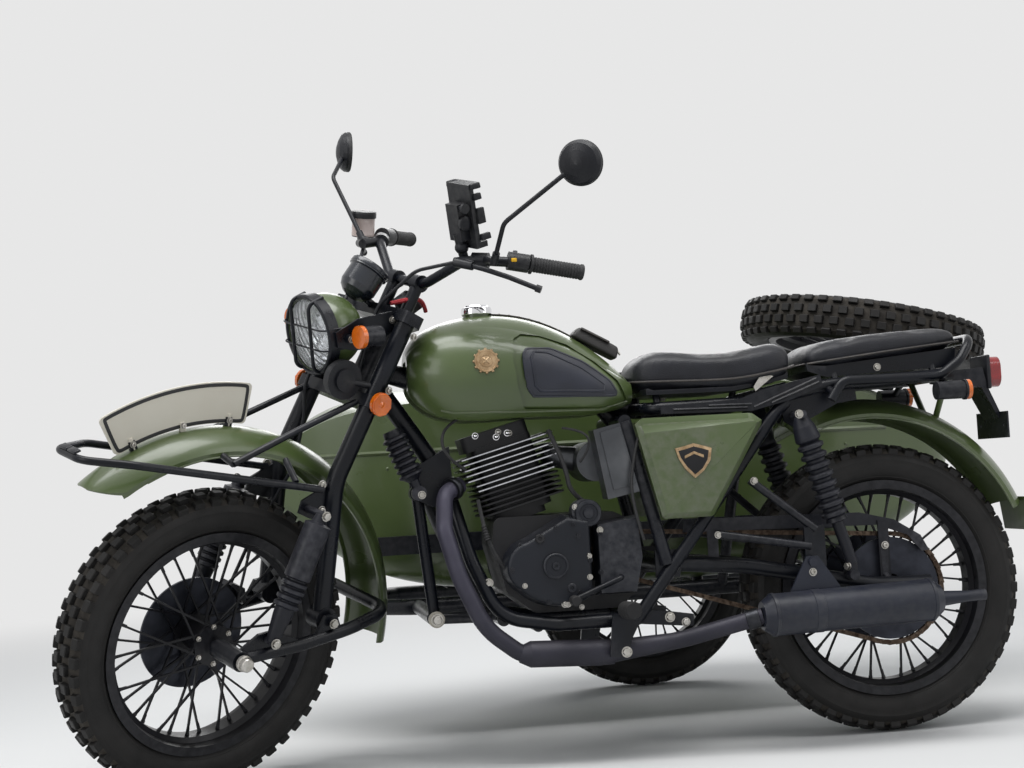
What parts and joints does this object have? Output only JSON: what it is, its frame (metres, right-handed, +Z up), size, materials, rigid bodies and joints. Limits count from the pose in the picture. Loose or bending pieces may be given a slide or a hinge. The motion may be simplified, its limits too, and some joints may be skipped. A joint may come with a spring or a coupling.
{
  "type": "sidecar motorcycle",
  "caption": "Motorcycle with a spoked-wheel sidecar on its right, a leading-link fork that steers, a finned engine, a spare wheel laid on the sidecar tail and a blank fender plate.",
  "frame": {"origin": "on the floor under the middle of the bounding box", "axes": "+X to the rear of the machine, +Y to the rider's right where the sidecar is, +Z up"},
  "size_m": [2.3535, 1.5314, 1.4606],
  "materials": {
    "tyre": "matt block tread rubber",
    "wheel_black": "satin black paint",
    "disc_steel": "brushed steel",
    "olive_paint": "satin olive green paint",
    "black_paint": "satin black paint",
    "shock_black": "black covers and ribbed boots",
    "plate_cream": "blank cream enamel",
    "lamp_glass": "clear fluted glass",
    "satin_plastic": "satin black plastic",
    "orange_lens": "orange lens",
    "red_lens": "red lens",
    "grip_rubber": "matt black rubber",
    "engine_grey": "satin dark grey paint on cast aluminium",
    "engine_black": "black fins with bare bright edges",
    "exhaust_dark": "heat-dark satin paint",
    "exhaust_black": "satin black paint",
    "seat_leather": "black grained leather",
    "chain_steel": "oiled steel with light rust"
  },
  "bodies": {
    "chassis": {"airbox": "satin_plastic", "chain_guard": "black_paint", "drive_chain": "chain_steel", "engine_case": "engine_grey", "engine_covers": "engine_grey", "engine_cylinder": "engine_black", "exhaust_header": "exhaust_dark", "foot_controls": "black_paint", "fuel_tank": "olive_paint", "knee_pads": "grip_rubber", "main_frame": "black_paint", "pillion_seat": "seat_leather", "rear_fender": "olive_paint", "rear_rack": "black_paint", "rear_shocks": "shock_black", "rear_signal_lenses": "orange_lens", "rider_seat": "seat_leather", "seat_base": "satin_plastic", "side_covers": "olive_paint", "sidecar_arms": "black_paint", "sidecar_cross_tubes": "black_paint", "sidecar_fender": "olive_paint", "sidecar_frame": "black_paint", "sidecar_seat": "seat_leather", "sidecar_seat_frame": "black_paint", "sidecar_side_rail": "black_paint", "sidecar_tub": "olive_paint", "silencer": "exhaust_black", "spare_carrier": "black_paint", "spare_tyre": "tyre", "spare_wheel_rim": "wheel_black", "steering_damper": "shock_black", "swingarm": "black_paint", "tail_lamp": "red_lens"},
    "steering": {"fork": "black_paint", "leading_link": "black_paint", "front_shocks": "shock_black", "front_fender": "olive_paint", "fender_stays": "black_paint", "fender_plate": "plate_cream", "headlamp_shell": "olive_paint", "headlamp_lens": "lamp_glass", "lamp_brackets": "black_paint", "front_signal_lenses": "orange_lens", "horn": "satin_plastic", "gauge": "satin_plastic", "handlebar": "black_paint", "bar_controls": "satin_plastic", "grips": "grip_rubber", "mirrors": "satin_plastic", "front_cables": "grip_rubber"},
    "front_wheel": {"front_tyre": "tyre", "front_wheel_rim": "wheel_black", "front_brake_disc": "disc_steel"},
    "rear_wheel": {"rear_tyre": "tyre", "rear_wheel_rim": "wheel_black", "rear_sprocket_and_disc": "disc_steel"},
    "sidecar_wheel": {"sidecar_tyre": "tyre", "sidecar_wheel_rim": "wheel_black"}
  },
  "joints": [
    {"name": "steering_turn", "type": "hinge", "parent": "chassis", "child": "steering", "pos_m": [-0.49561, -0.39027, 0.89097], "axis": [0.454, 0, 0.891], "range_deg": [-72.3, 3.7]},
    {"name": "front_wheel_spin", "type": "hinge", "parent": "steering", "child": "front_wheel", "pos_m": [-0.88455, -0.44824, 0.31485], "axis": [-0.5021, 0.8261, 0.2558], "continuous": true},
    {"name": "rear_wheel_spin", "type": "hinge", "parent": "chassis", "child": "rear_wheel", "pos_m": [0.62651, -0.39027, 0.32298], "axis": [0, 1, 0], "continuous": true},
    {"name": "sidecar_wheel_spin", "type": "hinge", "parent": "chassis", "child": "sidecar_wheel", "pos_m": [0.31951, 0.68173, 0.32298], "axis": [0, 1, 0], "continuous": true}
  ]
}
